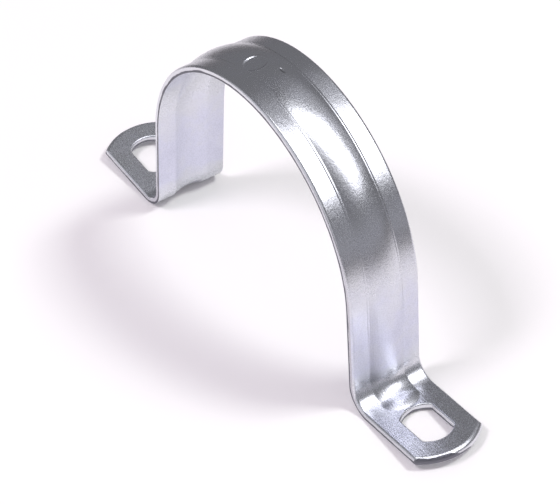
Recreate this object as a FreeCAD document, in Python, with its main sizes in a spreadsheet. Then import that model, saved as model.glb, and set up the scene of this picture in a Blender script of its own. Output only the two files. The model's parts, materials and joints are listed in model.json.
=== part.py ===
import FreeCAD, Part
import math
import os

import Sketcher

# Two-hole conduit strap: one strip of zinc-plated steel, beaded down the middle, punched, sheared and folded.
# Frame: X along the strap from foot to foot, Y across the strip, Z up. The origin is on the floor under the
# middle of the arch. Lengths are in millimetres and angles in degrees.

SIZES = (
    ("band_width", 22.2, "width of the strip"),
    ("sheet_thickness", 1.9, "thickness of the sheet"),
    ("edge_roll", 0.9, "radius to which the slitting rolls over the outer edges of the strip"),
    ("edge_roll_depth", 0.45, "how far down the sheet's edge that rounding reaches"),
    ("seat_radius", 44.45, "inside radius of the arch, half of the conduit's 88.9"),
    ("seat_height", 30.15, "height of the arch's centre above the floor"),
    ("leg_splay", 3.7, "lean of each leg out of the vertical"),
    ("bend_radius", 5.5, "radius in the hollow of the bend between leg and foot"),
    ("foot_tilt", 5.4, "rise of each foot towards its tip, taken up when the strap is screwed down"),
    ("foot_reach", 25.3, "from the end of the bend to the tip of the foot, along the foot"),
    ("end_radius", 16.6, "radius of the sheared end of the foot, seen from above"),
    ("end_roll", 1.4, "rounding of the upper edge of the sheared end"),
    ("bead_width", 11.1, "width of the raised bead between its two creases"),
    ("bead_height", 0.95, "height of the bead's crown above the strip"),
    ("bead_root", 0.5, "depth to which the bead's own section reaches into the sheet"),
    ("run_out_radius", 8.9, "radius on which the bead sinks into the foot"),
    ("run_out_length", 4.4, "length of that sinking arc, along the foot"),
    ("slot_across", 10.4, "width of the slot between its two flats"),
    ("slot_diameter", 14.2, "length of the slot, which is the diameter of its round ends"),
    ("slot_place", 11.8, "from the end of the bend to the middle of the slot"),
    ("slot_corner", 0.9, "rounding where the slot's flats meet its round ends"),
    ("slot_lip", 0.45, "rounding of the slot's upper rim"),
    ("mark_angle", 11.3, "place of the press mark round the arch, from the crown towards -X"),
    ("mark_offset", 1.8, "place of the press mark from the middle of the strip, towards -Y"),
    ("mark_radius", 3.3, "radius of the round, flat-faced punch that left the press mark"),
    ("mark_depth", 0.45, "depth of the press mark at its middle"),
)

# The bead is a slice of a round bar that stands its height out of the sheet between the two creases.
BAR_RADIUS = "(sizes.bead_height ^ 2 + (sizes.bead_width / 2) ^ 2) / (2 * sizes.bead_height)"
SKIN_TOP = "sizes.seat_height + sizes.seat_radius + sizes.sheet_thickness"

VERTICAL_AXIS = -2
ORIGIN = (-1, 1)
CENTRE = 3


def make_sizes(doc):
    """Write every driving size into a spreadsheet, one named cell each."""
    sheet = doc.addObject("Spreadsheet::Sheet", "sizes")
    for row, (alias, value, note) in enumerate(SIZES, start=1):
        sheet.set(f"A{row}", note)
        sheet.set(f"B{row}", str(value))
        sheet.setAlias(f"B{row}", alias)
    doc.recompute()
    return sheet


def new_sketch(body, name, role):
    """Start a sketch on one of the body's own origin planes."""
    plane = next(item for item in body.Origin.OriginFeatures if item.Role == role)
    sketch = body.newObject("Sketcher::SketchObject", name)
    sketch.AttachmentSupport = (plane, "")
    sketch.MapMode = "FlatFace"
    return sketch


def relate(sketch, *relation):
    """Add a constraint that needs no size."""
    sketch.addConstraint(Sketcher.Constraint(*relation))


def drive(sketch, name, expression, *relation):
    """Add a named constraint whose value follows an expression on the sheet."""
    index = sketch.addConstraint(Sketcher.Constraint(*relation))
    sketch.renameConstraint(index, name)
    sketch.setExpression(f"Constraints.{name}", expression)


def read_out(sketch, name, *relation):
    """Add a named constraint that only measures, for other features to read."""
    index = sketch.addConstraint(Sketcher.Constraint(*relation))
    sketch.setDriving(index, False)
    sketch.renameConstraint(index, name)


def arc(centre, radius, start, end):
    """An arc in the sketch plane, run counterclockwise between two angles in radians."""
    return Part.ArcOfCircle(Part.Circle(centre, FreeCAD.Vector(0, 0, 1), radius), start, end)


class Layout:
    """Where the strap's lines start out, close enough for the sketch solver to finish."""

    def __init__(self, sheet):
        self.lean = math.radians(sheet.leg_splay)
        self.tilt = math.radians(sheet.foot_tilt)
        self.across = FreeCAD.Vector(math.cos(self.lean), math.sin(self.lean))
        self.along = FreeCAD.Vector(math.cos(self.tilt), math.sin(self.tilt))
        self.below = FreeCAD.Vector(math.sin(self.tilt), -math.cos(self.tilt))
        self.arch = FreeCAD.Vector(0, sheet.seat_height)
        down = FreeCAD.Vector(math.sin(self.lean), -math.cos(self.lean))
        reach = sheet.seat_radius + sheet.sheet_thickness + sheet.bend_radius
        rise = sheet.seat_height - sheet.bend_radius - sheet.sheet_thickness
        drop = (rise + reach * math.sin(self.lean)) / math.cos(self.lean)
        self.bend = self.arch + self.across * reach + down * drop


def add_skin(sketch, sheet, layout, foot_length, construction_foot=False):
    """Draw the outer skin from the crown to the foot, with its sizes and angles tied to the sheet."""
    outer_radius = sheet.seat_radius + sheet.sheet_thickness
    arch = sketch.addGeometry(arc(layout.arch, outer_radius, layout.lean, math.pi / 2))
    leg_foot = layout.bend - layout.across * sheet.bend_radius
    leg_head = layout.arch + layout.across * outer_radius
    leg = sketch.addGeometry(Part.LineSegment(leg_foot, leg_head))
    turn = (math.pi + layout.lean, 1.5 * math.pi + layout.tilt)
    bend = sketch.addGeometry(arc(layout.bend, sheet.bend_radius, *turn))
    foot_start = layout.bend + layout.below * sheet.bend_radius
    foot_line = Part.LineSegment(foot_start, foot_start + layout.along * foot_length)
    foot = sketch.addGeometry(foot_line, construction_foot)
    relate(sketch, "Tangent", arch, 1, leg, 2)
    relate(sketch, "Tangent", leg, 1, bend, 1)
    relate(sketch, "Tangent", bend, 2, foot, 1)
    relate(sketch, "PointOnObject", arch, 2, VERTICAL_AXIS)
    relate(sketch, "PointOnObject", arch, CENTRE, VERTICAL_AXIS)
    drive(sketch, "seat_height", "sizes.seat_height", "DistanceY", *ORIGIN, arch, CENTRE, layout.arch.y)
    drive(sketch, "outer_radius", "sizes.seat_radius + sizes.sheet_thickness", "Radius", arch, outer_radius)
    drive(sketch, "leg_lean", "90 + sizes.leg_splay", "Angle", leg, math.pi / 2 + layout.lean)
    drive(sketch, "bend_radius", "sizes.bend_radius", "Radius", bend, sheet.bend_radius)
    drive(sketch, "bend_height", "sizes.bend_radius + sizes.sheet_thickness",
          "DistanceY", *ORIGIN, bend, CENTRE, layout.bend.y)
    drive(sketch, "foot_tilt", "sizes.foot_tilt", "Angle", foot, layout.tilt)
    return arch, leg, bend, foot


def make_fold_line(body, sheet, layout):
    """The outer skin of the strip seen along Y: half the arch, a leg, a bend and a foot."""
    sketch = new_sketch(body, "fold_line", "XZ_Plane")
    length = sheet.foot_reach + sheet.end_roll
    skin = add_skin(sketch, sheet, layout, length)
    foot = skin[3]
    drive(sketch, "blank_length", "sizes.foot_reach + sizes.end_roll", "Distance", foot, 1, foot, 2, length)
    start = sketch.Geometry[foot].StartPoint
    read_out(sketch, "foot_start_x", "DistanceX", *ORIGIN, foot, 1, start.x)
    read_out(sketch, "foot_start_z", "DistanceY", *ORIGIN, foot, 1, start.y)
    return sketch


def make_bead_path(body, sheet, layout):
    """The line that the bead follows: the outer skin, and then an arc that sinks into the foot."""
    sketch = new_sketch(body, "bead_path", "XZ_Plane")
    skin = add_skin(sketch, sheet, layout, sheet.run_out_length, construction_foot=True)
    bend, foot = skin[2], skin[3]
    drive(sketch, "run_out_line", "sizes.run_out_length", "Distance", foot, 1, foot, 2, sheet.run_out_length)

    radius = sheet.run_out_radius
    centre = layout.bend + layout.below * (sheet.bend_radius + radius)
    start = math.pi / 2 + layout.tilt
    end = start - math.asin(sheet.run_out_length / radius)
    sink = sketch.addGeometry(arc(centre, radius, end, start))
    relate(sketch, "Tangent", bend, 2, sink, 2)
    drive(sketch, "run_out_radius", "sizes.run_out_radius", "Radius", sink, radius)
    tip = sketch.Geometry[sink].StartPoint
    drop_line = sketch.addGeometry(Part.LineSegment(sketch.Geometry[foot].EndPoint, tip), True)
    relate(sketch, "Coincident", drop_line, 1, foot, 2)
    relate(sketch, "Coincident", drop_line, 2, sink, 1)
    relate(sketch, "Perpendicular", drop_line, foot)
    return sketch


def make_strip_section(body, sheet):
    """The flat strip cut across at the crown, with the two outer corners rolled over."""
    sketch = new_sketch(body, "strip_section", "YZ_Plane")
    half = sheet.band_width / 2
    roll = sheet.edge_roll
    turn = math.acos(1 - sheet.edge_roll_depth / roll)
    middle = half - roll * math.sin(turn)
    top = sheet.seat_height + sheet.seat_radius + sheet.sheet_thickness
    floor = top - sheet.sheet_thickness
    upright = math.pi / 2
    right = sketch.addGeometry(arc(FreeCAD.Vector(middle, top - roll), roll, upright - turn, upright))
    left = sketch.addGeometry(arc(FreeCAD.Vector(-middle, top - roll), roll, upright, upright + turn))
    corners = (FreeCAD.Vector(-half, floor), FreeCAD.Vector(half, floor))
    geometry = sketch.Geometry
    upper = sketch.addGeometry(Part.LineSegment(geometry[right].EndPoint, geometry[left].StartPoint))
    left_side = sketch.addGeometry(Part.LineSegment(geometry[left].EndPoint, corners[0]))
    lower = sketch.addGeometry(Part.LineSegment(*corners))
    right_side = sketch.addGeometry(Part.LineSegment(corners[1], geometry[right].StartPoint))
    for first, second in ((right, upper), (upper, left)):
        relate(sketch, "Tangent", first, 2, second, 1)
    for first, second in ((left, left_side), (left_side, lower), (lower, right_side), (right_side, right)):
        relate(sketch, "Coincident", first, 2, second, 1)
    relate(sketch, "Horizontal", upper)
    relate(sketch, "Vertical", left_side)
    relate(sketch, "Vertical", right_side)
    relate(sketch, "Equal", left, right)
    relate(sketch, "Symmetric", lower, 1, lower, 2, VERTICAL_AXIS)
    drive(sketch, "edge_roll", "sizes.edge_roll", "Radius", right, roll)
    drive(sketch, "edge_roll_depth", "sizes.edge_roll_depth", "DistanceY", right, 1, right, 2,
          sheet.edge_roll_depth)
    relate(sketch, "Horizontal", left, 2, right, 1)
    drive(sketch, "band_width", "sizes.band_width", "DistanceX", lower, 1, lower, 2, 2 * half)
    drive(sketch, "seat_top", "sizes.seat_height + sizes.seat_radius", "DistanceY", *ORIGIN, lower, 2, floor)
    drive(sketch, "skin_top", SKIN_TOP, "DistanceY", *ORIGIN, upper, 1, top)
    return sketch


def make_bead_section(body, sheet, name, inset, depth):
    """A round-topped slice across the bead at the crown: inset from the bead's face, down to a depth."""
    sketch = new_sketch(body, name, "YZ_Plane")
    half = sheet.bead_width / 2
    bar_radius = (sheet.bead_height ** 2 + half ** 2) / (2 * sheet.bead_height)
    skin = sheet.seat_height + sheet.seat_radius + sheet.sheet_thickness
    radius = bar_radius - inset[0]
    floor = skin - depth[0]
    centre = FreeCAD.Vector(0, skin + sheet.bead_height - bar_radius)
    reach = math.acos((floor - centre.y) / radius)
    crest = sketch.addGeometry(arc(centre, radius, math.pi / 2 - reach, math.pi / 2 + reach))
    chord = sketch.addGeometry(Part.LineSegment(sketch.Geometry[crest].EndPoint,
                                                sketch.Geometry[crest].StartPoint))
    relate(sketch, "Coincident", chord, 1, crest, 2)
    relate(sketch, "Coincident", chord, 2, crest, 1)
    relate(sketch, "Horizontal", chord)
    relate(sketch, "PointOnObject", crest, CENTRE, VERTICAL_AXIS)
    drive(sketch, "bar_radius", f"{BAR_RADIUS} - ({inset[1]})", "Radius", crest, radius)
    drive(sketch, "bar_height", f"{SKIN_TOP} + sizes.bead_height - {BAR_RADIUS}",
          "DistanceY", *ORIGIN, crest, CENTRE, centre.y)
    drive(sketch, "chord_height", f"{SKIN_TOP} - ({depth[1]})", "DistanceY", *ORIGIN, chord, 1, floor)
    return sketch


def sweep(body, kind, name, section, path):
    """Carry a section along a path, to add metal or to take it away."""
    pipe = body.newObject(kind, name)
    pipe.Profile = section
    pipe.Spine = path
    return pipe


def edges_of(feature, test):
    """Names of the feature's edges that pass a test."""
    edges = enumerate(feature.Shape.Edges, start=1)
    return [f"Edge{number}" for number, edge in edges if test(edge)]


def round_edges(body, name, base, test, size):
    """Fillet the edges of the base feature that pass a test."""
    fillet = body.newObject("PartDesign::Fillet", name)
    fillet.Base = (base, edges_of(base, test))
    fillet.setExpression("Radius", f"sizes.{size}")
    return fillet


def set_on_foot(sketch, axis, turn):
    """Move a sketch to the end of the bend, on the foot's upper face, and tilt it with the foot."""
    start = "fold_line.Constraints.foot_start_"
    upright = "y" if axis.z else "z"
    sketch.AttachmentOffset = FreeCAD.Placement(FreeCAD.Vector(), FreeCAD.Rotation(axis, 1))
    sketch.setExpression("AttachmentOffset.Base.x", f"{start}x")
    sketch.setExpression(f"AttachmentOffset.Base.{upright}", f"{start}z")
    sketch.setExpression("AttachmentOffset.Rotation.Angle", f"{turn} * sizes.foot_tilt")


def make_end_cutter(body, sheet):
    """What the shear takes off the foot's end, in the foot's own frame, turned about the end's centre."""
    sketch = new_sketch(body, "end_section", "XZ_Plane")
    set_on_foot(sketch, FreeCAD.Vector(0, 0, 1), 1)
    reach = sheet.foot_reach
    roll = sheet.end_roll
    clear = sheet.band_width
    flat = FreeCAD.Vector(reach - roll, 0)
    nose = FreeCAD.Vector(reach, -roll)
    under = FreeCAD.Vector(reach, -clear / 2)
    corner = FreeCAD.Vector(reach + clear, clear / 2)
    round_over = sketch.addGeometry(arc(flat + FreeCAD.Vector(0, -roll), roll, 0, math.pi / 2))
    outline = (nose, under, FreeCAD.Vector(corner.x, under.y), corner, FreeCAD.Vector(flat.x, corner.y), flat)
    sides = [sketch.addGeometry(Part.LineSegment(*ends)) for ends in zip(outline, outline[1:])]
    relate(sketch, "Coincident", sides[0], 1, round_over, 1)
    relate(sketch, "Coincident", sides[-1], 2, round_over, 2)
    for first, second in zip(sides, sides[1:]):
        relate(sketch, "Coincident", first, 2, second, 1)
    for side, direction in zip(sides, ("Vertical", "Horizontal", "Vertical", "Horizontal", "Vertical")):
        relate(sketch, direction, side)
    relate(sketch, "PointOnObject", sides[-1], 2, -1)
    relate(sketch, "Vertical", round_over, CENTRE, round_over, 2)
    relate(sketch, "Horizontal", round_over, CENTRE, round_over, 1)
    drive(sketch, "foot_reach", "sizes.foot_reach", "DistanceX", *ORIGIN, sides[0], 1, reach)
    drive(sketch, "end_roll", "sizes.end_roll", "Radius", round_over, roll)
    drive(sketch, "clear_below", "-sizes.band_width / 2", "DistanceY", *ORIGIN, sides[1], 1, -clear / 2)
    drive(sketch, "clear_above", "sizes.band_width / 2", "DistanceY", *ORIGIN, sides[3], 1, clear / 2)
    drive(sketch, "clear_beyond", "sizes.foot_reach + sizes.band_width",
          "DistanceX", *ORIGIN, sides[2], 1, corner.x)

    middle = FreeCAD.Vector(reach - sheet.end_radius, 0)
    axis = sketch.addGeometry(Part.LineSegment(middle, middle + FreeCAD.Vector(0, clear / 2)), True)
    relate(sketch, "Vertical", axis)
    relate(sketch, "PointOnObject", axis, 1, -1)
    drive(sketch, "axis_place", "sizes.foot_reach - sizes.end_radius", "DistanceX", *ORIGIN, axis, 1, middle.x)
    drive(sketch, "axis_height", "sizes.band_width / 2", "DistanceY", axis, 1, axis, 2, clear / 2)

    groove = body.newObject("PartDesign::Groove", "sheared_end")
    groove.Profile = sketch
    groove.ReferenceAxis = (sketch, ["Axis0"])
    groove.Angle = 120
    groove.Midplane = True
    return groove


def make_slot(body, sheet):
    """The slot: a round hole with two flats, which leaves room to shift the strap along X."""
    sketch = new_sketch(body, "slot_outline", "XY_Plane")
    set_on_foot(sketch, FreeCAD.Vector(0, 1, 0), -1)
    centre = FreeCAD.Vector(sheet.slot_place, 0)
    radius = sheet.slot_diameter / 2
    half = sheet.slot_across / 2
    rise = math.asin(half / radius)
    near = sketch.addGeometry(arc(centre, radius, math.pi - rise, math.pi + rise))
    far = sketch.addGeometry(arc(centre, radius, -rise, rise))
    geometry = sketch.Geometry
    low = sketch.addGeometry(Part.LineSegment(geometry[near].EndPoint, geometry[far].StartPoint))
    high = sketch.addGeometry(Part.LineSegment(geometry[far].EndPoint, geometry[near].StartPoint))
    for first, second in ((near, low), (low, far), (far, high), (high, near)):
        relate(sketch, "Coincident", first, 2, second, 1)
    relate(sketch, "Coincident", near, CENTRE, far, CENTRE)
    relate(sketch, "PointOnObject", far, CENTRE, -1)
    relate(sketch, "Equal", near, far)
    relate(sketch, "Horizontal", low)
    relate(sketch, "Horizontal", high)
    relate(sketch, "Vertical", far, 1, far, 2)
    drive(sketch, "slot_place", "sizes.slot_place", "DistanceX", *ORIGIN, far, CENTRE, centre.x)
    drive(sketch, "slot_radius", "sizes.slot_diameter / 2", "Radius", far, radius)
    drive(sketch, "slot_across", "sizes.slot_across", "DistanceY", far, 1, far, 2, 2 * half)

    pocket = body.newObject("PartDesign::Pocket", "slot")
    pocket.Profile = sketch
    pocket.Midplane = True
    pocket.setExpression("Length", "4 * sizes.sheet_thickness")
    return pocket


def round_slot(doc, body, sheet, layout, slot):
    """Round the slot's four corners, and then its upper rim."""
    radius = sheet.slot_diameter / 2
    tolerance = sheet.slot_lip / 10

    def in_foot(point):
        offset = FreeCAD.Vector(point.x, point.z) - layout.bend
        return FreeCAD.Vector(offset * layout.along - sheet.slot_place, point.y, -offset * layout.below)

    face = -sheet.bend_radius

    def is_corner(edge):
        ends = [in_foot(vertex.Point) for vertex in edge.Vertexes]
        upright = abs(edge.Length - sheet.sheet_thickness) < tolerance
        return upright and all(math.hypot(end.x, end.y) < radius + tolerance for end in ends)

    def is_rim(edge):
        points = [in_foot(vertex.Point) for vertex in edge.Vertexes]
        level = all(abs(point.z - face) < tolerance for point in points)
        return level and all(math.hypot(point.x, point.y) < radius + tolerance for point in points)

    corners = round_edges(body, "slot_corners", slot, is_corner, "slot_corner")
    doc.recompute()
    return round_edges(body, "slot_rim", corners, is_rim, "slot_lip")


def make_press_mark(body, sheet):
    """The shallow round mark that a flat-faced punch left on the bead, square to its face, near the crown."""
    punch = body.newObject("PartDesign::SubtractiveCylinder", "press_mark")
    plane = next(item for item in body.Origin.OriginFeatures if item.Role == "XY_Plane")
    punch.AttachmentSupport = (plane, "")
    punch.MapMode = "FlatFace"
    punch.setExpression("Radius", "sizes.mark_radius")
    punch.setExpression("Height", "4 * sizes.mark_depth")
    lean = f"asin(sizes.mark_offset / ({BAR_RADIUS}))"
    turn = "sizes.mark_angle * 1 deg"
    centre_line = f"sizes.seat_radius + sizes.sheet_thickness + sizes.bead_height - ({BAR_RADIUS})"
    floor = f"({centre_line} + ({BAR_RADIUS} - sizes.mark_depth) * cos({lean}))"
    side = f"-({BAR_RADIUS} - sizes.mark_depth) * sin({lean})"
    place = f"vector(-{floor} * sin({turn}); {side}; sizes.seat_height + {floor} * cos({turn}))"
    tilt = f"rotation(vector(0; 1; 0); -{turn}) * rotation(vector(1; 0; 0); {lean})"
    punch.setExpression("AttachmentOffset", f"placement({place}; {tilt})")
    return punch


def make_strap(doc, sheet):
    """Build the whole strap as one body: half of it, then its mirror image, then the press mark."""
    body = doc.addObject("PartDesign::Body", "strap")
    body.Label = "strap"
    layout = Layout(sheet)
    thickness = (sheet.sheet_thickness, "sizes.sheet_thickness")
    beyond = (2 * sheet.sheet_thickness, "2 * sizes.sheet_thickness")
    root = (sheet.bead_root, "sizes.bead_root")
    surface = (0, "0")

    strip = make_strip_section(body, sheet)
    sweep(body, "PartDesign::AdditivePipe", "folded_strip", strip, make_fold_line(body, sheet, layout))
    path = make_bead_path(body, sheet, layout)
    crest = make_bead_section(body, sheet, "bead_section", surface, root)
    sweep(body, "PartDesign::AdditivePipe", "bead", crest, path)
    hollow = make_bead_section(body, sheet, "hollow_section", thickness, beyond)
    sweep(body, "PartDesign::SubtractivePipe", "hollow", hollow, path)
    make_end_cutter(body, sheet)
    slot = make_slot(body, sheet)
    doc.recompute()
    round_slot(doc, body, sheet, layout, slot)

    mirror = body.newObject("PartDesign::Mirrored", "other_half")
    mirror.TransformMode = "Whole shape"
    middle = next(item for item in body.Origin.OriginFeatures if item.Role == "YZ_Plane")
    mirror.MirrorPlane = (middle, [""])
    body.Tip = mirror
    doc.recompute()
    body.Tip = make_press_mark(body, sheet)
    doc.recompute()
    return body


def check(doc):
    """Stop if an object failed to build, a sketch is loose, a cut took nothing away, or the body is broken."""
    for item in doc.Objects:
        if "Invalid" in item.State or "Error" in item.State:
            raise RuntimeError(f"{item.Name} did not build: {item.State}")
    for sketch in doc.findObjects("Sketcher::SketchObject"):
        if not sketch.FullyConstrained:
            raise RuntimeError(f"{sketch.Name} is not fully constrained")
    for name in ("hollow", "sheared_end", "slot", "press_mark"):
        cut = doc.getObject(name)
        if cut.Shape.Volume > cut.BaseFeature.Shape.Volume - 0.1:
            raise RuntimeError(f"{name} took nothing away")
    for body in doc.findObjects("PartDesign::Body"):
        if body.Shape.isNull() or not body.Shape.isValid() or len(body.Shape.Solids) != 1:
            raise RuntimeError(f"{body.Label} is not one sound solid")


def main():
    doc = FreeCAD.newDocument("conduit_strap")
    sheet = make_sizes(doc)
    body = make_strap(doc, sheet)
    check(doc)
    os.makedirs("parts", exist_ok=True)
    body.Shape.exportStep(f"parts/{body.Label}.step")
    print(f"{body.Label}: {body.Shape.Volume:.0f} cubic millimetres, {len(body.Shape.Faces)} faces")


main()
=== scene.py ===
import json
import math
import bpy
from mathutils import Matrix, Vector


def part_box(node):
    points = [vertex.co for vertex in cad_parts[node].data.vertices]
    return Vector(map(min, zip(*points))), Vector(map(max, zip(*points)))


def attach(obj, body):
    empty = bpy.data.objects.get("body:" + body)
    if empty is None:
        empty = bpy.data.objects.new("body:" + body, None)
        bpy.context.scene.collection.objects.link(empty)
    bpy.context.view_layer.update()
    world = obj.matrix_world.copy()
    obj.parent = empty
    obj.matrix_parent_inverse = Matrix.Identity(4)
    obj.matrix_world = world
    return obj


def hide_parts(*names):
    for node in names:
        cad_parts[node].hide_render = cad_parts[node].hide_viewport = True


bl_info = {
    "name": "Conduit Strap",
    "version": (1, 0, 0),
    "blender": (4, 5, 0),
    "location": "3D View > Sidebar > Strap",
    "description": "Models a zinc-plated two-hole conduit strap with a beaded arch and slotted feet",
    "category": "Mesh",
}

import bmesh
import bpy
from mathutils import Matrix, Vector

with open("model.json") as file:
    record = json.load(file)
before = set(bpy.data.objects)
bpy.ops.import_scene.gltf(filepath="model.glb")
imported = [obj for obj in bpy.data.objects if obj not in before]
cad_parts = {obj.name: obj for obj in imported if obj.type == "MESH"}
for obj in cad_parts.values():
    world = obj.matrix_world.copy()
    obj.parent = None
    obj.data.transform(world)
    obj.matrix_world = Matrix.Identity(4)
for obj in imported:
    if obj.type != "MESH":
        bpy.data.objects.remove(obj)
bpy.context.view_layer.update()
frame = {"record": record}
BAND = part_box("strap")[1].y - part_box("strap")[0].y
PLATE = frame["record"]["materials"][0]

TINY = 1e-6
SKIM = 0.00001

# The mesh: how finely the sweep is cut, and the even rows that the bead needs where it sinks into the foot.
CROWN_ARC = math.radians(18)
CROWN_STEPS = 56
SHOULDER_STEPS = 92
LEG_STEPS = 6
BEND_STEPS = 56
FOOT_STEPS = 22
FOOT_STEP = 0.00021
BEYOND_TIP = 0.003
BEAD_COLUMNS = 18
EDGE_COLUMNS = 6
SHARP = math.radians(27)

# The tools: half the depth of the slot punch, and the sweep of the shear about the end's centre.
PUNCH_HALF = 0.004
SHEAR_HALF = 0.006
SHEAR_BEYOND = 0.012
SHEAR_SWEEP = math.radians(120)

# A point that no two corners of the strap or its tools are equally far from.
ODD_POINT = (0.317, -0.2113, 0.1471)

# The floor's own light, seen by the camera alone, and the camera's place and lens.
FLOOR_GLOW = 0.02
FAR_FLOOR_GLOW = 0.75
CAMERA_AZIMUTH = math.radians(55.395)
CAMERA_ELEVATION = math.radians(43.793)
CAMERA_ROLL = -0.01441
CAMERA_PLACE = (0.42027, -0.29101, 0.50417)
CAMERA_LENS = 165.09


def length(name, description, default):
    """A size in metres, shown in the scene's own unit."""
    return bpy.props.FloatProperty(name=name, description=description, default=default,
                                   min=0.0, precision=5, unit='LENGTH')


def angle(name, description, degrees):
    """An angle, shown in degrees."""
    return bpy.props.FloatProperty(name=name, description=description, default=math.radians(degrees),
                                   precision=3, subtype='ANGLE')


def colour(name, description, default):
    """A linear colour."""
    return bpy.props.FloatVectorProperty(name=name, description=description, default=default,
                                         size=3, min=0.0, max=1.0, subtype='COLOR')


class StrapSizes(bpy.types.PropertyGroup):
    """The sizes that the strip is cut, beaded and folded to."""
    band_width: length("Band Width", "Width of the strip", BAND)
    thickness: length("Thickness", "Thickness of the sheet", 0.0019)
    edge_roll: length("Edge Roll", "Radius that slitting leaves on the strip's outer edges", 0.0009)
    edge_roll_depth: length("Edge Roll Depth", "How far down the side that rounding reaches", 0.00045)
    seat_radius: length("Seat Radius", "Inside radius of the arch", 0.04445)
    seat_height: length("Seat Height", "Height of the arch's centre above the floor", 0.03015)
    leg_splay: angle("Leg Splay", "Lean of each leg out of the vertical", 3.7)
    bend_radius: length("Bend Radius", "Radius in the hollow between leg and foot", 0.0055)
    foot_tilt: angle("Foot Tilt", "Rise of each foot towards its tip", 5.4)
    foot_reach: length("Foot Reach", "From the end of the bend to the foot's tip", 0.0253)
    end_radius: length("End Radius", "Radius of the sheared end seen from above", 0.0166)
    end_roll: length("End Roll", "Rounding of the sheared end's upper edge", 0.0014)
    bead_width: length("Bead Width", "Width of the bead between its creases", 0.0111)
    bead_height: length("Bead Height", "Height of the bead above the strip", 0.00095)
    run_out_radius: length("Run Out Radius", "Radius on which the bead sinks into the foot", 0.0089)
    slot_across: length("Slot Width", "Width of the slot between its flats", 0.0104)
    slot_diameter: length("Slot Length", "Diameter of the slot's round ends", 0.0142)
    slot_place: length("Slot Place", "From the end of the bend to the slot's middle", 0.0118)
    slot_corner: length("Slot Corner", "Rounding where the slot's flats meet its ends", 0.0009)
    slot_lip: length("Slot Lip", "Rounding of the slot's upper rim", 0.00045)
    mark_angle: angle("Mark Angle", "Place of the press mark round the arch", 11.3)
    mark_offset: length("Mark Offset", "Place of the press mark from the strip's middle", 0.0018)
    mark_radius: length("Mark Radius", "Radius of the press mark", 0.0033)
    mark_depth: length("Mark Depth", "Depth of the press mark at its middle", 0.00045)


class StrapFinish(bpy.types.PropertyGroup):
    """The colours of the plated steel and of the floor it stands on."""
    plate: colour("Zinc Plate", "Colour of the bright zinc plating", PLATE["base_color"])
    # Bluish colour of random clouding, and on the legs a painted tint of the pale floor they reflect.
    haze_and_painted_tint: colour("Zinc Haze", "Colour where the plating has clouded", (0.74, 0.75, 0.87))
    # This dark colour paints the shadow under the foot's raised tip as well as the rough steel where the
    # sheet tore.
    fracture_and_shade: colour("Torn Edge", "Colour of the torn lower half of a sheared edge", (0.20, 0.20, 0.23))
    floor: colour("Floor", "Colour of the table top", (0.90, 0.90, 0.90))


class Fold:
    """Where the folded strip runs, worked out from its sizes."""

    def __init__(self, sizes):
        self.outer = sizes.seat_radius + sizes.thickness
        reach = self.outer + sizes.bend_radius
        rise = sizes.seat_height - sizes.bend_radius - sizes.thickness
        lean, tilt = sizes.leg_splay, sizes.foot_tilt
        self.leg_length = (rise + reach * math.sin(lean)) / math.cos(lean)
        self.leg_way = Vector((math.sin(lean), 0, -math.cos(lean)))
        self.hub = Vector((0, 0, sizes.seat_height))
        across = reach * math.cos(lean) + self.leg_length * math.sin(lean)
        self.bend = Vector((across, 0, sizes.bend_radius + sizes.thickness))
        self.along = Vector((math.cos(tilt), 0, math.sin(tilt)))
        self.above = Vector((-math.sin(tilt), 0, math.cos(tilt)))
        self.start = self.bend - self.above * sizes.bend_radius
        self.slot = self.start + self.along * sizes.slot_place
        self.end_hub = self.start + self.along * (sizes.foot_reach - sizes.end_radius)
        self.bar = (sizes.bead_height ** 2 + (sizes.bead_width / 2) ** 2) / (2 * sizes.bead_height)

    def foot_place(self, point):
        """How far along the foot a point lies, and how far above its upper face."""
        offset = point - self.start
        return offset.dot(self.along), offset.dot(self.above)


def edit(piece):
    """Make a piece the only selected one and open it in edit mode."""
    if bpy.context.mode != 'OBJECT':
        bpy.ops.object.mode_set(mode='OBJECT')
    bpy.ops.object.select_all(action='DESELECT')
    bpy.context.view_layer.objects.active = piece
    piece.select_set(True)
    bpy.ops.object.mode_set(mode='EDIT')


def pick(piece, kind, test):
    """Select only the corners, edges or faces that pass a test."""
    bpy.ops.mesh.select_mode(type=kind)
    bpy.ops.mesh.select_all(action='DESELECT')
    shell = bmesh.from_edit_mesh(piece.data)
    parts = {'VERT': shell.verts, 'EDGE': shell.edges, 'FACE': shell.faces}[kind]
    for part in parts:
        if test(part):
            part.select_set(True)
    shell.select_flush_mode()
    bmesh.update_edit_mesh(piece.data)


def push(way):
    """Extrude the selected faces by a vector."""
    bpy.ops.mesh.extrude_region_move(TRANSFORM_OT_translate={"value": tuple(way)})


def bead_profile(bar, height, y):
    """Height of the bead at a place across the strip, before the strip's own face cuts it off."""
    return math.sqrt(max(bar * bar - y * y, 0.0)) - (bar - height)


def section_columns(sizes):
    """Places across the strip that need a line of corners: the rolled edges, the creases and the bead."""
    half = sizes.band_width / 2
    turn = math.acos(1 - sizes.edge_roll_depth / sizes.edge_roll)
    roll = [half - sizes.edge_roll * (math.sin(turn) - math.sin(turn * step / EDGE_COLUMNS))
            for step in range(EDGE_COLUMNS)]
    crease = sizes.bead_width / 2
    inner = math.sqrt(crease ** 2 - 2 * sizes.thickness * sizes.bead_height)
    flats = [crease + 0.0003, crease, inner, crease + (roll[0] - crease) * 0.5]
    bead = [inner * step / BEAD_COLUMNS for step in range(1, BEAD_COLUMNS)]
    right = roll + flats + bead
    return [0.0] + right + [-place for place in right]


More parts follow.
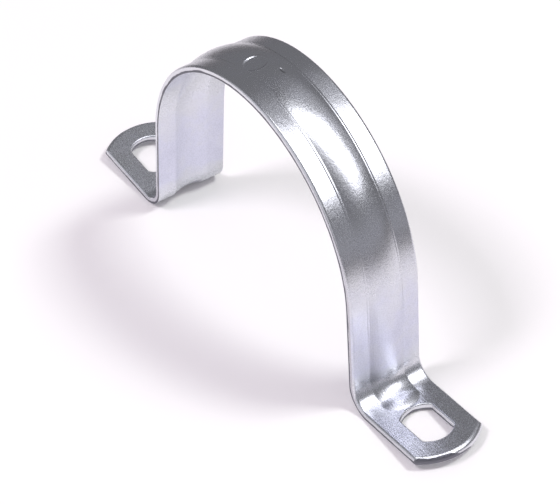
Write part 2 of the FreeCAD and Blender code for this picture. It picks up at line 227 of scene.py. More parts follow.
def cut_section(sizes, fold):
    """A plate the size of the strip's cross-section, standing at the crown, with a line at every column."""
    crown = sizes.seat_height + fold.outer
    middle = crown - sizes.thickness / 2
    bpy.ops.mesh.primitive_plane_add(size=1, location=(0, 0, middle), rotation=(math.pi / 2, 0, math.pi / 2))
    piece = bpy.context.object
    piece.name = "strap_strip"
    piece.scale = (sizes.band_width, sizes.thickness, 1)
    bpy.ops.object.transform_apply(location=True, rotation=True, scale=True)
    edit(piece)
    for place in section_columns(sizes):
        bpy.ops.mesh.select_all(action='SELECT')
        bpy.ops.mesh.bisect(plane_co=(0, place, 0), plane_no=(0, 1, 0), threshold=TINY)
    shape_section(piece, sizes, fold, crown)
    return piece


def shape_section(piece, sizes, fold, crown):
    """Raise the bead, press its hollow and roll the two outer corners over."""
    middle = crown - sizes.thickness / 2
    half = sizes.band_width / 2
    flat = half - sizes.edge_roll * math.sin(math.acos(1 - sizes.edge_roll_depth / sizes.edge_roll))
    places = {0.0}.union(section_columns(sizes), (half, -half))
    for place in sorted(places):
        across = abs(place)
        lift = max(bead_profile(fold.bar, sizes.bead_height, across), 0.0)
        if across > flat:
            lift = math.sqrt(max(sizes.edge_roll ** 2 - (across - flat) ** 2, 0.0)) - sizes.edge_roll
        hollow = max(bead_profile(fold.bar - sizes.thickness, sizes.bead_height, across), 0.0)
        for rise, upper in ((lift, True), (hollow, False)):
            if abs(rise) < TINY:
                continue
            pick(piece, 'VERT', lambda v: abs(v.co.y - place) < TINY and (v.co.z > middle) == upper)
            bpy.ops.transform.translate(value=(0, 0, rise))


def sweep_strip(piece, sizes, fold):
    """Carry the section round the arch, down the leg, through the bend and along the foot."""
    edit(piece)
    bpy.ops.mesh.select_mode(type='FACE')
    bpy.ops.mesh.select_all(action='SELECT')
    bpy.ops.mesh.spin(steps=CROWN_STEPS, angle=-CROWN_ARC, center=fold.hub, axis=(0, 1, 0))
    rest = math.pi / 2 - sizes.leg_splay - CROWN_ARC
    bpy.ops.mesh.spin(steps=SHOULDER_STEPS, angle=-rest, center=fold.hub, axis=(0, 1, 0))
    for _ in range(LEG_STEPS):
        push(fold.leg_way * (fold.leg_length / LEG_STEPS))
    turn = math.pi / 2 + sizes.foot_tilt - sizes.leg_splay
    bpy.ops.mesh.spin(steps=BEND_STEPS, angle=turn, center=fold.bend, axis=(0, 1, 0))
    for _ in range(FOOT_STEPS):
        push(fold.along * FOOT_STEP)
    push(fold.along * (sizes.foot_reach + BEYOND_TIP - FOOT_STEPS * FOOT_STEP))
    bpy.ops.mesh.select_all(action='SELECT')
    bpy.ops.mesh.normals_make_consistent(inside=False)


def sink_bead(piece, sizes, fold):
    """Let the bead and its hollow run out into the flat foot on an arc."""
    shell = bmesh.from_edit_mesh(piece.data)
    for corner in shell.verts:
        place, above = fold.foot_place(corner.co)
        across = abs(corner.co.y)
        if place < TINY or corner.co.x < fold.start.x or across > sizes.bead_width / 2 + TINY:
            continue
        upper = above > -sizes.thickness / 4
        bar = fold.bar if upper else fold.bar - sizes.thickness
        sink = sizes.run_out_radius - (0 if upper else sizes.thickness)
        ring = sink + bead_profile(bar, sizes.bead_height, across)
        rise = math.sqrt(max(ring * ring - place * place, 0.0)) - sink
        soft = min(place, 0.001) * 0.05
        if rise < soft:
            rise = max(rise + soft, 0.0) ** 2 / (4 * soft)
        level = 0.0 if upper else -sizes.thickness
        corner.co += fold.above * (level + rise - above)
    shell.normal_update()
    bmesh.update_edit_mesh(piece.data)


def plane_foot(piece, fold):
    """Join the foot's flat faces, and divide them only by two lines that meet the slot's rim squarely."""
    def is_flat(face):
        place = fold.foot_place(face.calc_center_median())[0]
        return place > FOOT_STEPS * FOOT_STEP and abs(face.normal.y) < 0.01

    pick(piece, 'FACE', is_flat)
    bpy.ops.mesh.dissolve_limited(angle_limit=math.radians(0.1))
    for point, way in ((fold.slot, fold.along), (Vector((0, 0, 0)), Vector((0, 1, 0)))):
        pick(piece, 'FACE', is_flat)
        bpy.ops.mesh.bisect(plane_co=point, plane_no=way, threshold=TINY)


def slot_punch(sizes, fold):
    """The punch that cuts the slot: a round bar with two flats and eased corners."""
    bpy.ops.mesh.primitive_circle_add(vertices=120, radius=sizes.slot_diameter / 2, fill_type='NGON',
                                      location=(0, 0, -PUNCH_HALF))
    punch = bpy.context.object
    punch.name = "slot_punch"
    edit(punch)
    flat = sizes.slot_across / 2
    for side in (1, -1):
        bpy.ops.mesh.select_all(action='SELECT')
        bpy.ops.mesh.bisect(plane_co=(0, side * flat, 0), plane_no=(0, side, 0), clear_outer=True,
                            threshold=TINY)
    pick(punch, 'VERT', lambda v: abs(abs(v.co.y) - flat) < TINY)
    turn = math.acos(flat / (sizes.slot_diameter / 2))
    ease = sizes.slot_corner * math.tan(turn / 2)
    bpy.ops.mesh.bevel(offset=ease, segments=6, profile=0.5, affect='VERTICES', clamp_overlap=False)
    bpy.ops.mesh.select_mode(type='FACE')
    bpy.ops.mesh.select_all(action='SELECT')
    push((0, 0, 2 * PUNCH_HALF))
    bpy.ops.mesh.select_all(action='SELECT')
    bpy.ops.mesh.normals_make_consistent(inside=False)
    bpy.ops.object.mode_set(mode='OBJECT')
    turned = Matrix.Rotation(-sizes.foot_tilt, 4, 'Y')
    punch.matrix_world = Matrix.Translation(fold.slot) @ turned @ punch.matrix_world
    bpy.ops.object.transform_apply(location=True, rotation=True, scale=True)
    return punch


def end_shear(sizes, fold):
    """The shear that rounds the foot's end: an L-shaped profile with an eased corner, turned round."""
    reach, roll = sizes.end_radius, sizes.end_roll
    left = reach - roll
    bpy.ops.mesh.primitive_plane_add(size=1, rotation=(math.pi / 2, 0, 0))
    shear = bpy.context.object
    shear.name = "end_shear"
    shear.scale = (SHEAR_BEYOND + roll, 2 * SHEAR_HALF, 1)
    shear.location = (left + (SHEAR_BEYOND + roll) / 2, 0, 0)
    bpy.ops.object.transform_apply(location=True, rotation=True, scale=True)
    edit(shear)
    bpy.ops.mesh.select_all(action='SELECT')
    bpy.ops.mesh.bisect(plane_co=(reach, 0, 0), plane_no=(1, 0, 0), threshold=TINY)
    bpy.ops.mesh.select_all(action='SELECT')
    bpy.ops.mesh.bisect(plane_co=(0, 0, SKIM), plane_no=(0, 0, 1), threshold=TINY)
    pick(shear, 'FACE', lambda f: f.calc_center_median().x < reach and f.calc_center_median().z < SKIM)
    bpy.ops.mesh.delete(type='FACE')
    bpy.ops.mesh.select_all(action='SELECT')
    bpy.ops.mesh.dissolve_limited(angle_limit=math.radians(0.1))
    pick(shear, 'VERT', lambda v: abs(v.co.x - reach) < TINY and abs(v.co.z - SKIM) < TINY)
    bpy.ops.mesh.bevel(offset=roll * 0.999, segments=12, profile=0.5, affect='VERTICES', clamp_overlap=False)
    bpy.ops.mesh.select_mode(type='FACE')
    bpy.ops.mesh.select_all(action='SELECT')
    bpy.ops.mesh.spin(steps=96, angle=-SHEAR_SWEEP, center=(0, 0, 0), axis=(0, 0, 1))
    bpy.ops.mesh.select_all(action='SELECT')
    bpy.ops.mesh.remove_doubles(threshold=TINY)
    bpy.ops.mesh.normals_make_consistent(inside=False)
    bpy.ops.object.mode_set(mode='OBJECT')
    turned = Matrix.Rotation(-sizes.foot_tilt, 4, 'Y') @ Matrix.Rotation(-SHEAR_SWEEP / 2, 4, 'Z')
    shear.matrix_world = Matrix.Translation(fold.end_hub) @ turned
    bpy.ops.object.transform_apply(location=True, rotation=True, scale=True)
    return shear


def put_in_order(piece):
    """Number the corners, edges and faces by their place, so that a cut gives the same mesh each time."""
    cursor = bpy.context.scene.cursor
    cursor.location = ODD_POINT
    edit(piece)
    bpy.ops.mesh.select_mode(type='VERT')
    bpy.ops.mesh.select_all(action='SELECT')
    bpy.ops.mesh.sort_elements(type='CURSOR_DISTANCE', elements={'VERT', 'EDGE', 'FACE'})
    bpy.ops.object.mode_set(mode='OBJECT')
    cursor.location = (0, 0, 0)


def take_off(piece, tool):
    """Cut a tool out of the piece, and put the tool away."""
    put_in_order(tool)
    put_in_order(piece)
    cut = piece.modifiers.new("cut", 'BOOLEAN')
    cut.operation = 'DIFFERENCE'
    cut.solver = 'EXACT'
    cut.object = tool
    bpy.ops.object.modifier_apply(modifier=cut.name)
    bpy.data.objects.remove(tool)


def ease_rim(piece, sizes, fold):
    """Round the upper rim of the slot, as the punch leaves it."""
    reach = sizes.slot_diameter / 2 + 2 * SKIM

    def on_rim(edge):
        for corner in edge.verts:
            place, above = fold.foot_place(corner.co)
            if abs(above) > 2 * SKIM or math.hypot(place - sizes.slot_place, corner.co.y) > reach:
                return False
        return True

    edit(piece)
    pick(piece, 'EDGE', on_rim)
    bpy.ops.mesh.bevel(offset=sizes.slot_lip, segments=6, profile=0.5, affect='EDGES', clamp_overlap=False)


def mirror_halves(piece):
    """Open the crown and mirror the half strip into a whole one."""
    pick(piece, 'FACE', lambda f: all(abs(v.co.x) < TINY for v in f.verts))
    bpy.ops.mesh.delete(type='FACE')
    bpy.ops.object.mode_set(mode='OBJECT')
    other = piece.modifiers.new("other half", 'MIRROR')
    other.use_axis = (True, False, False)
    other.use_mirror_merge = True
    other.merge_threshold = TINY
    bpy.ops.object.modifier_apply(modifier=other.name)
    edit(piece)
    bpy.ops.mesh.select_all(action='SELECT')
    bpy.ops.mesh.remove_doubles(threshold=TINY)
    bpy.ops.mesh.normals_make_consistent(inside=False)


def press_mark(piece, sizes, fold):
    """Flatten the round mark that a punch left on the bead beside the crown, with a softened wall."""
    lean = math.asin(sizes.mark_offset / fold.bar)
    turn = sizes.mark_angle
    crest = fold.outer + sizes.bead_height - fold.bar
    face = Vector((-math.cos(lean) * math.sin(turn), -math.sin(lean), math.cos(lean) * math.cos(turn)))
    hub = fold.hub + Vector((-math.sin(turn), 0, math.cos(turn))) * crest
    middle = hub + face * fold.bar
    wall = 0.0005
    shell = bmesh.from_edit_mesh(piece.data)
    for corner in shell.verts:
        offset = corner.co - middle
        above = offset.dot(face)
        out = (offset - face * above).length
        if out > sizes.mark_radius + wall or above < -0.0012:
            continue
        share = min(max((sizes.mark_radius + wall - out) / (2 * wall), 0.0), 1.0)
        share = share * share * (3 - 2 * share)
        corner.co -= face * max(above + sizes.mark_depth, 0.0) * share
    bmesh.update_edit_mesh(piece.data)


def mark_sheared_faces(piece, sizes, fold):
    """Store how deep in the sheet each corner lies, and give the cut faces their own finish."""
    shell = piece.data
    depths = shell.attributes.new("sheet_depth", 'FLOAT', 'POINT')
    for corner in shell.vertices:
        depths.data[corner.index].value = sheet_depth(corner.co, sizes, fold) / sizes.thickness
    for face in shell.polygons:
        place = Vector((abs(face.center.x), face.center.y, face.center.z))
        normal = Vector((math.copysign(1, face.center.x) * face.normal.x, face.normal.y, face.normal.z))
        at_end = place.x > fold.end_hub.x + 0.0118 and abs(normal.x) > 0.02
        limit = 0.88 if at_end else 0.3
        face.material_index = 1 if abs(normal.dot(skin_way(place, fold))) < limit else 0


def skin_way(place, fold):
    """The outward direction of the strip's outer face at a place on its right half."""
    if place.x > fold.start.x:
        return fold.above
    out = Vector((-fold.leg_way.z, 0, fold.leg_way.x))
    if (place - fold.hub).dot(fold.leg_way) < 0:
        return (place - fold.hub).normalized()
    if (place - fold.bend).dot(fold.leg_way) < 0:
        return out
    return (fold.bend - Vector((place.x, 0, place.z))).normalized()


def sheet_depth(point, sizes, fold):
    """Depth below the strip's outer face."""
    place = Vector((abs(point.x), 0, point.z))
    if place.x > fold.start.x:
        return -fold.foot_place(place)[1]
    if (place - fold.hub).dot(fold.leg_way) < 0:
        return fold.outer - (place - fold.hub).length
    if (place - fold.bend).dot(fold.leg_way) < 0:
        out = Vector((-fold.leg_way.z, 0, fold.leg_way.x))
        return fold.outer - (place - fold.hub).dot(out)
    return (place - fold.bend).length - sizes.bend_radius


def smooth(piece):
    """Smooth the faces, keeping the sheared edges sharp and the flats flat."""
    bpy.ops.object.mode_set(mode='OBJECT')
    bpy.ops.object.shade_smooth_by_angle(angle=SHARP)
    even = piece.modifiers.new("even light", 'WEIGHTED_NORMAL')
    even.keep_sharp = True
    even.weight = 60
    bpy.ops.object.modifier_apply(modifier=even.name)


class Nodes:
    """Places nodes in a tree from left to right and joins them."""

    def __init__(self, tree):
        self.tree = tree
        self.column = 0

    def add(self, kind, label="", **settings):
        node = self.tree.nodes.new(kind)
        node.label = label
        node.location = (self.column * 190, -140 * (self.column % 3))
        self.column += 1
        for name, value in settings.items():
            setattr(node, name, value)
        return node

    def feed(self, source, socket):
        if hasattr(source, "links"):
            self.tree.links.new(source, socket)
        else:
            socket.default_value = source

    def math(self, operation, *values, label=""):
        node = self.add("ShaderNodeMath", label, operation=operation)
        for value, socket in zip(values, node.inputs):
            self.feed(value, socket)
        return node.outputs[0]

    def ranged(self, value, low, high, to_low=0.0, to_high=1.0, label=""):
        node = self.add("ShaderNodeMapRange", label, interpolation_type='SMOOTHSTEP')
        for given, socket in zip((value, low, high, to_low, to_high), node.inputs):
            self.feed(given, socket)
        return node.outputs[0]

    def noise(self, vector, scale, detail=2.0, roughness=0.5, label=""):
        node = self.add("ShaderNodeTexNoise", label)
        self.feed(vector, node.inputs["Vector"])
        node.inputs["Scale"].default_value = scale
        node.inputs["Detail"].default_value = detail
        node.inputs["Roughness"].default_value = roughness
        return node.outputs["Fac"]

    def stretched(self, vector, scale, place=(0, 0, 0), turn=(0, 0, 0)):
        node = self.add("ShaderNodeMapping", vector_type='POINT')
        self.feed(vector, node.inputs["Vector"])
        node.inputs["Location"].default_value = place
        node.inputs["Rotation"].default_value = turn
        node.inputs["Scale"].default_value = scale
        return node.outputs[0]

    def mix(self, share, first, second, label=""):
        node = self.add("ShaderNodeMix", label, data_type='RGBA')
        for value, name in ((share, "Factor_Float"), (first, "A_Color"), (second, "B_Color")):
            socket = next(item for item in node.inputs if item.identifier == name)
            self.feed(value, socket)
        return next(item for item in node.outputs if item.identifier == "Result_Color")


def group(name, inputs, outputs):
    """An empty shader node group with named sockets."""
    tree = bpy.data.node_groups.new(name, 'ShaderNodeTree')
    for label, kind, default in inputs:
        socket = tree.interface.new_socket(name=label, in_out='INPUT', socket_type=kind)
        if default is not None:
            socket.default_value = default
    for label, kind in outputs:
        tree.interface.new_socket(name=label, in_out='OUTPUT', socket_type=kind)
    nodes = Nodes(tree)
    return tree, nodes, nodes.add("NodeGroupInput"), nodes.add("NodeGroupOutput")


def zinc_grain():
    """The surface of bright zinc on rolled steel: fine orange peel, drawing lines and slow waves."""
    tree, nodes, given, result = group("zinc_grain", (
        ("Vector", 'NodeSocketVector', None),
        ("Peel", 'NodeSocketFloat', 1.0),
        ("Lines", 'NodeSocketFloat', 1.0),
        ("Waves", 'NodeSocketFloat', 1.0),
    ), (("Height", 'NodeSocketFloat'), ("Speckle", 'NodeSocketFloat'), ("Cloud", 'NodeSocketFloat')))
    place = given.outputs["Vector"]
    fine = nodes.noise(place, 2600, 3.0, 0.6, "orange peel")
    coarse = nodes.noise(place, 900, 2.0, 0.5, "grain clusters")
    peel = nodes.math('ADD', fine, nodes.math('MULTIPLY', coarse, 0.8))
    along = nodes.stretched(place, (60, 2600, 60))
    lines = nodes.noise(along, 1.0, 3.0, 0.6, "drawing lines")
    slow = nodes.stretched(place, (70, 420, 70))
    waves = nodes.noise(slow, 1.0, 1.0, 0.4, "slow waves")
    height = nodes.math('ADD', nodes.math('MULTIPLY', peel, given.outputs["Peel"]),
                        nodes.math('MULTIPLY', lines, given.outputs["Lines"]))
    height = nodes.math('ADD', height, nodes.math('MULTIPLY', waves, given.outputs["Waves"]))
    cloud = nodes.noise(place, 160, 4.0, 0.6, "clouding")
    nodes.feed(height, result.inputs["Height"])
    nodes.feed(nodes.ranged(fine, 0.42, 0.62, label="speckle"), result.inputs["Speckle"])
    nodes.feed(nodes.ranged(cloud, 0.35, 0.7, label="cloud"), result.inputs["Cloud"])
    return tree


def use(nodes, tree, vector, **values):
    """Place a group in a tree with its own values."""
    node = nodes.add("ShaderNodeGroup", tree.name, node_tree=tree)
    nodes.feed(vector, node.inputs["Vector"])
    for name, value in values.items():
        node.inputs[name].default_value = value
    return node.outputs


def fresh_material(name):
    """An empty node material with its output and one Principled shader."""
    paint = bpy.data.materials.new(name)
    paint.use_nodes = True
    paint.node_tree.nodes.clear()
    nodes = Nodes(paint.node_tree)
    return paint, nodes


def finish_material(nodes, base, roughness, normal):
    """End a metal: one Principled shader joined to the output."""
    shader = nodes.add("ShaderNodeBsdfPrincipled")
    shader.inputs["Metallic"].default_value = 1.0
    nodes.feed(base, shader.inputs["Base Color"])
    nodes.feed(roughness, shader.inputs["Roughness"])
    nodes.feed(normal, shader.inputs["Normal"])
    output = nodes.add("ShaderNodeOutputMaterial")
    nodes.feed(shader.outputs[0], output.inputs["Surface"])


def bumped(nodes, height, distance, strength=1.0):
    """A bump of a height in metres."""
    bump = nodes.add("ShaderNodeBump")
    bump.inputs["Strength"].default_value = strength
    bump.inputs["Distance"].default_value = distance
    nodes.feed(height, bump.inputs["Height"])
    return bump.outputs[0]


def zinc_plate(sizes, finish, fold, grain):
    """Bright zinc plating: grain, drawing lines, random clouding with a painted bluish tint of the reflected
    floor on the legs, crease lines, the mark's burr and a small nick.
    """
    paint, nodes = fresh_material("zinc_plate")
    place = nodes.add("ShaderNodeTexCoord").outputs["Object"]
    surface = use(nodes, grain, place, Peel=1.0, Lines=0.5, Waves=0.7)
    drawn = use(nodes, grain, place, Peel=0.3, Lines=1.6, Waves=2.2)
    height_z = nodes.add("ShaderNodeSeparateXYZ")
    nodes.feed(place, height_z.inputs[0])
    low = nodes.ranged(height_z.outputs["Z"], 0.048, 0.022, label="lower half")
    legs = nodes.math('MULTIPLY', low, nodes.ranged(height_z.outputs["Z"], 0.006, 0.013), label="legs")
    # The legs take much more of the bluish colour: a painted tint of the floor they reflect, over the random
    # clouding.
    share = nodes.math('ADD', nodes.math('MULTIPLY', legs, 0.55), 0.2)
    haze_and_painted_tint = nodes.math('MULTIPLY', nodes.math('ADD', surface["Cloud"], legs), share, label="haze_and_painted_tint")
    base = nodes.mix(haze_and_painted_tint, (*finish.plate, 1), (*finish.haze_and_painted_tint, 1), "haze_and_painted_tint")
    dull = nodes.mix(nodes.math('MULTIPLY', surface["Speckle"], 0.18), base, (0.45, 0.46, 0.50, 1), "pores")
    roughness = nodes.math('ADD', 0.20, nodes.math('MULTIPLY', surface["Speckle"], 0.10))
    roughness = nodes.math('ADD', roughness, nodes.math('MULTIPLY', haze_and_painted_tint, 0.12))
    roughness = nodes.math('ADD', roughness, nodes.math('MULTIPLY', legs, 0.10))
    feet = nodes.ranged(height_z.outputs["Z"], 0.011, 0.005, label="feet")
    roughness = nodes.math('ADD', roughness, nodes.math('MULTIPLY', feet, 0.05))
    turn = sizes.mark_angle
    ring = fold.outer + sizes.bead_height
    centre = Vector((-ring * math.sin(turn), -sizes.mark_offset, sizes.seat_height + ring * math.cos(turn)))
    away = nodes.add("ShaderNodeVectorMath", "from the mark", operation='DISTANCE')
    nodes.feed(place, away.inputs[0])
    away.inputs[1].default_value = centre
    burr = nodes.ranged(away.outputs["Value"], sizes.mark_radius + 0.0009, sizes.mark_radius + 0.0002)
    inside = nodes.ranged(away.outputs["Value"], sizes.mark_radius + 0.0002, sizes.mark_radius - 0.0004)
    rim = nodes.math('SUBTRACT', burr, inside, label="burr")
    nick_place = nodes.stretched(place, (600, 1500, 160), (1.407, -2.118, -12.38), (0, 0, 0.25))
    nick = nodes.add("ShaderNodeVectorMath", "nick", operation='LENGTH')
    nodes.feed(nick_place, nick.inputs[0])
    nicked = nodes.ranged(nick.outputs["Value"], 1.0, 0.2)
    change = nodes.math('SUBTRACT', drawn["Height"], surface["Height"])
    calm = nodes.math('MAXIMUM', legs, nodes.math('MULTIPLY', feet, 0.6))
    relief = nodes.math('ADD', surface["Height"], nodes.math('MULTIPLY', change, calm), label="drawn legs")
    grain_bump = bumped(nodes, relief, 0.000028)
    beside = nodes.math('SUBTRACT', nodes.math('ABSOLUTE', height_z.outputs["Y"]), sizes.bead_width / 2)
    crease = nodes.ranged(nodes.math('ABSOLUTE', beside), 0.0004, 0.0, label="crease")
    crease = nodes.math('MULTIPLY', crease, nodes.ranged(height_z.outputs["Z"], 0.016, 0.030, 0.0, 1.0))
    relief = nodes.math('SUBTRACT', rim, nodes.math('MULTIPLY', nicked, 3.5))
    depth = nodes.add("ShaderNodeAttribute", attribute_name="sheet_depth").outputs["Fac"]
    relief = nodes.math('ADD', relief, nodes.math('MULTIPLY', crease, nodes.ranged(depth, 0.6, 0.3)))
    normal = nodes.add("ShaderNodeBump", "mark and nick")
    normal.inputs["Distance"].default_value = 0.0001
    nodes.feed(relief, normal.inputs["Height"])
    nodes.feed(grain_bump, normal.inputs["Normal"])
    finish_material(nodes, dull, roughness, normal.outputs[0])
    return paint


def sheared_edge(finish, grain):
    """The sheet's cut edge: a bright burnished band above and a dark band below where the steel tore; at the
    foot's end that dark band also paints the shadow of the gap under the raised tip.
    """
    paint, nodes = fresh_material("sheared_edge")
    place = nodes.add("ShaderNodeTexCoord").outputs["Object"]
    surface = use(nodes, grain, place, Peel=1.0, Lines=0.0, Waves=0.4)
    depth = nodes.add("ShaderNodeAttribute", attribute_name="sheet_depth").outputs["Fac"]
    parts = nodes.add("ShaderNodeSeparateXYZ")
    nodes.feed(place, parts.inputs[0])
    at_end = nodes.ranged(nodes.math('ABSOLUTE', parts.outputs["X"]), 0.0742, 0.0750, label="foot's end")
    # At the foot's end the dark band reaches near the top on the -Y half and is gone from the +Y half:
    # painted shadow and light from the gap under the raised tip.
    start = nodes.ranged(parts.outputs["Y"], -0.0022, 0.0006, 0.10, 0.70, label="where the tear_and_gap_shade starts")
    start = nodes.math('ADD', start, nodes.ranged(parts.outputs["Y"], 0.0030, 0.0060, 0.0, 0.4))
    painted_gap_shade = nodes.math('MULTIPLY', nodes.math('SUBTRACT', start, 0.62), at_end)
    uneven = nodes.math('MULTIPLY', nodes.math('SUBTRACT', surface["Cloud"], 0.5), 0.14)
    level = nodes.math('SUBTRACT', nodes.math('ADD', depth, uneven), painted_gap_shade)
    torn_and_shaded = nodes.ranged(level, 0.60, 0.70, label="torn band")
    pale_foot = nodes.ranged(depth, 0.97, 1.0, label="lower arris")
    dark = nodes.math('MULTIPLY', torn_and_shaded, nodes.math('SUBTRACT', 1.0, nodes.math('MULTIPLY', pale_foot, 0.7)))
    base = nodes.mix(dark, (*finish.plate, 1), (*finish.fracture_and_shade, 1), "torn or burnished")
    roughness = nodes.math('ADD', 0.26, nodes.math('MULTIPLY', torn_and_shaded, 0.26))
    relief = nodes.math('MULTIPLY', surface["Height"], nodes.math('ADD', 0.6, torn_and_shaded))
    normal = bumped(nodes, relief, 0.00004)
    finish_material(nodes, base, roughness, normal)
    return paint


def floor_material(finish):
    """A pale table top that keeps the strap's shadow. The metal sees it pale nearby and dim further off."""
    paint, nodes = fresh_material("floor")
    path = nodes.add("ShaderNodeLightPath")
    place = nodes.add("ShaderNodeTexCoord").outputs["Object"]
    away = nodes.add("ShaderNodeVectorMath", operation='LENGTH')
    nodes.feed(place, away.inputs[0])
    far = nodes.ranged(away.outputs["Value"], 0.10, 0.40, 0.0, 0.8, label="far from the strap")
    dim = nodes.math('MULTIPLY', path.outputs["Is Glossy Ray"], far)
    shade = nodes.mix(dim, (*finish.floor, 1), (0, 0, 0, 1), "dim room in the metal")
    matt = nodes.add("ShaderNodeBsdfDiffuse")
    nodes.feed(shade, matt.inputs["Color"])
    glow = nodes.add("ShaderNodeEmission")
    glow.inputs["Color"].default_value = (1, 1, 1, 1)
    brighter = nodes.ranged(away.outputs["Value"], 0.25, 1.40, FLOOR_GLOW, FAR_FLOOR_GLOW, label="far floor")
    nodes.feed(nodes.math('MULTIPLY', path.outputs["Is Camera Ray"], brighter), glow.inputs["Strength"])
    both = nodes.add("ShaderNodeAddShader")
    nodes.feed(matt.outputs[0], both.inputs[0])
    nodes.feed(glow.outputs[0], both.inputs[1])
    output = nodes.add("ShaderNodeOutputMaterial")
    nodes.feed(both.outputs[0], output.inputs["Surface"])
    return paint


def window_in_room(nodes, parts, middle, half, turn, edge, corner=9.0):
    """Where a ceiling window lies for a direction: a soft, turned rectangle with one corner cut off."""
    up = nodes.math('MAXIMUM', parts["Z"], 0.02)
    across = nodes.math('SUBTRACT', nodes.math('DIVIDE', parts["X"], up), middle[0])
    away = nodes.math('SUBTRACT', nodes.math('DIVIDE', parts["Y"], up), middle[1])
    cos, sin = math.cos(turn), math.sin(turn)
    long = nodes.math('ADD', nodes.math('MULTIPLY', across, cos), nodes.math('MULTIPLY', away, sin))
    short = nodes.math('SUBTRACT', nodes.math('MULTIPLY', away, cos), nodes.math('MULTIPLY', across, sin))
    share = nodes.ranged(nodes.math('ABSOLUTE', long), half[0] + edge, half[0] - edge)
    other = nodes.ranged(nodes.math('ABSOLUTE', short), half[1] + edge, half[1] - edge)
    slant = nodes.math('SUBTRACT', short, nodes.math('MULTIPLY', long, 0.7))
    kept = nodes.ranged(slant, corner + 0.07, corner - 0.07, label="cut corner")
    return nodes.math('MULTIPLY', nodes.math('MULTIPLY', share, other), kept)


def studio_world():
    """White to the camera, a dim room with a long window to the metal, and an even fill to the rest."""
    world = bpy.data.worlds.new("studio")
    bpy.context.scene.world = world
    world.use_nodes = True
    world.node_tree.nodes.clear()
    nodes = Nodes(world.node_tree)
    way = nodes.add("ShaderNodeTexCoord").outputs["Generated"]
    split = nodes.add("ShaderNodeSeparateXYZ")
    nodes.feed(way, split.inputs[0])
    parts = split.outputs
    right = nodes.ranged(parts["X"], 0.45, 0.85, label="right wall")
    low = nodes.ranged(parts["Z"], 0.55, 0.05, label="near the table")
    paler = nodes.math('MULTIPLY', right, low)
    room = nodes.mix(paler, (0.19, 0.19, 0.20, 1), (0.36, 0.36, 0.39, 1), "room")
    back = nodes.ranged(parts["Y"], -0.38, -0.80, label="pale rear wall")
    room = nodes.mix(nodes.math('MULTIPLY', back, nodes.ranged(parts["Z"], 0.0, 0.2)), room,
                     (0.80, 0.80, 0.84, 1), "rear wall")
    halo = window_in_room(nodes, parts, (0.457, 0.664), (0.95, 0.85), math.radians(31), 0.22)
    room = nodes.mix(halo, room, (0.42, 0.42, 0.44, 1), "pale ceiling")
    key = window_in_room(nodes, parts, (0.369, 0.462), (0.80, 0.30), math.radians(31), 0.10, 0.43)
    room = nodes.mix(key, room, (3.4, 3.4, 3.5, 1), "long window")
    path = nodes.add("ShaderNodeLightPath")
    even = nodes.mix(path.outputs["Is Glossy Ray"], (0.555, 0.515, 0.555, 1), room, "metal sees the room")
    whole = nodes.mix(path.outputs["Is Camera Ray"], even, (1, 1, 1, 1), "camera sees white")
    sky = nodes.add("ShaderNodeBackground")
    nodes.feed(whole, sky.inputs["Color"])
    output = nodes.add("ShaderNodeOutputWorld")
    nodes.feed(sky.outputs[0], output.inputs["Surface"])


def soft_box(name, way, distance, width, depth, watts, tint):
    """A soft box that hangs in a direction from the strap and faces it."""
    lamp = bpy.data.lights.new(name, 'AREA')
    lamp.shape = 'RECTANGLE'
    lamp.size = width
    lamp.size_y = depth
    lamp.energy = watts
    lamp.color = tint
    holder = bpy.data.objects.new(name, lamp)
    bpy.context.scene.collection.objects.link(holder)
    aim = Vector(way).normalized()
    holder.rotation_euler = aim.to_track_quat('Z', 'Y').to_euler()
    holder.location = Vector((0, 0, 0.03)) + aim * distance
    holder.visible_glossy = False


def stand_camera():
    """The camera, high in front of the strap's right foot, through a long lens."""
    level = Vector((math.sin(CAMERA_AZIMUTH), -math.cos(CAMERA_AZIMUTH), 0))
    back = level * math.cos(CAMERA_ELEVATION) + Vector((0, 0, math.sin(CAMERA_ELEVATION)))
    right = Vector((math.cos(CAMERA_AZIMUTH), math.sin(CAMERA_AZIMUTH), 0))
    up = back.cross(right)
    side = right * math.cos(CAMERA_ROLL) + up * math.sin(CAMERA_ROLL)
    top = up * math.cos(CAMERA_ROLL) - right * math.sin(CAMERA_ROLL)
    lens = bpy.data.cameras.new("camera")
    lens.sensor_width = 36.0
    lens.sensor_fit = 'HORIZONTAL'
    lens.lens = CAMERA_LENS
    lens.clip_start = 0.01
    lens.clip_end = 20.0
    holder = bpy.data.objects.new("camera", lens)
    bpy.context.scene.collection.objects.link(holder)
    turned = Matrix((side, top, back)).transposed().to_4x4()
    holder.matrix_world = Matrix.Translation(CAMERA_PLACE) @ turned
    bpy.context.scene.camera = holder


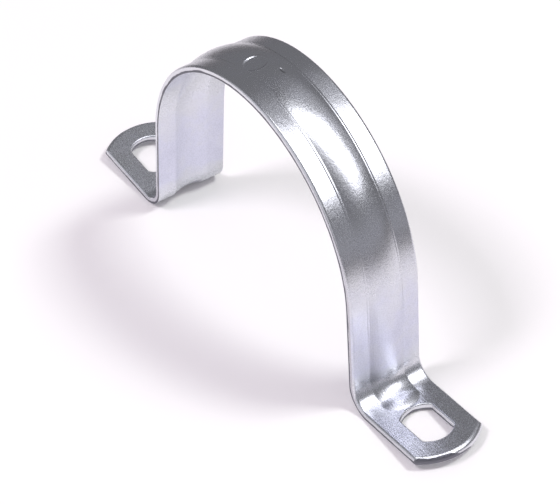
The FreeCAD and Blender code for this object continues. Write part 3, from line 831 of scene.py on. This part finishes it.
class STRAP_OT_model_strap(bpy.types.Operator):
    """Model the strap: strip, bead, folds, slots, sheared ends and press mark"""
    bl_idname = "strap.model_strap"
    bl_label = "Model Strap"
    bl_options = {'REGISTER', 'UNDO'}

    def execute(self, context):
        sizes = context.scene.strap_sizes
        finish = context.scene.strap_finish
        fold = Fold(sizes)
        bpy.ops.object.select_all(action='DESELECT')
        piece = cut_section(sizes, fold)
        sweep_strip(piece, sizes, fold)
        sink_bead(piece, sizes, fold)
        plane_foot(piece, fold)
        bpy.ops.object.mode_set(mode='OBJECT')
        take_off(piece, end_shear(sizes, fold))
        take_off(piece, slot_punch(sizes, fold))
        ease_rim(piece, sizes, fold)
        mirror_halves(piece)
        press_mark(piece, sizes, fold)
        smooth(piece)
        mark_sheared_faces(piece, sizes, fold)
        grain = zinc_grain()
        piece.data.materials.append(zinc_plate(sizes, finish, fold, grain))
        piece.data.materials.append(sheared_edge(finish, grain))
        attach(piece, "root")
        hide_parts("strap")
        return {'FINISHED'}


class STRAP_OT_set_stage(bpy.types.Operator):
    """Set the stage: floor, soft boxes, room and camera"""
    bl_idname = "strap.set_stage"
    bl_label = "Set Stage"
    bl_options = {'REGISTER', 'UNDO'}

    def execute(self, context):
        finish = context.scene.strap_finish
        bpy.ops.object.select_all(action='DESELECT')
        bpy.ops.mesh.primitive_plane_add(size=6.0, location=(0, 0, 0))
        table = context.object
        table.name = "table_top"
        table.data.materials.append(floor_material(finish))
        studio_world()
        soft_box("key_box", (0.30, 0.52, 1.0), 1.5, 0.34, 0.30, 9.2, (0.97, 1.0, 0.96))
        soft_box("fill_box", (-0.20, -0.64, 1.0), 1.5, 0.36, 0.30, 7.6, (1.0, 0.92, 1.0))
        stand_camera()
        context.scene.view_settings.view_transform = 'Standard'
        return {'FINISHED'}


class STRAP_PT_sidebar(bpy.types.Panel):
    """Lists the strap's steps and sizes"""
    bl_label = "Conduit Strap"
    bl_idname = "STRAP_PT_sidebar"
    bl_space_type = 'VIEW_3D'
    bl_region_type = 'UI'
    bl_category = "Strap"

    def draw(self, context):
        layout = self.layout
        layout.operator(STRAP_OT_model_strap.bl_idname)
        layout.operator(STRAP_OT_set_stage.bl_idname)
        for values in (context.scene.strap_sizes, context.scene.strap_finish):
            box = layout.box()
            for name in values.__annotations__:
                box.prop(values, name)


CLASSES = (StrapSizes, StrapFinish, STRAP_OT_model_strap, STRAP_OT_set_stage, STRAP_PT_sidebar)


def register():
    for item in CLASSES:
        bpy.utils.register_class(item)
    bpy.types.Scene.strap_sizes = bpy.props.PointerProperty(type=StrapSizes)
    bpy.types.Scene.strap_finish = bpy.props.PointerProperty(type=StrapFinish)


def unregister():
    del bpy.types.Scene.strap_finish
    del bpy.types.Scene.strap_sizes
    for item in reversed(CLASSES):
        bpy.utils.unregister_class(item)


def main():
    register()
    bpy.ops.strap.model_strap()
    bpy.ops.strap.set_stage()


if __name__ == "__main__":
    main()
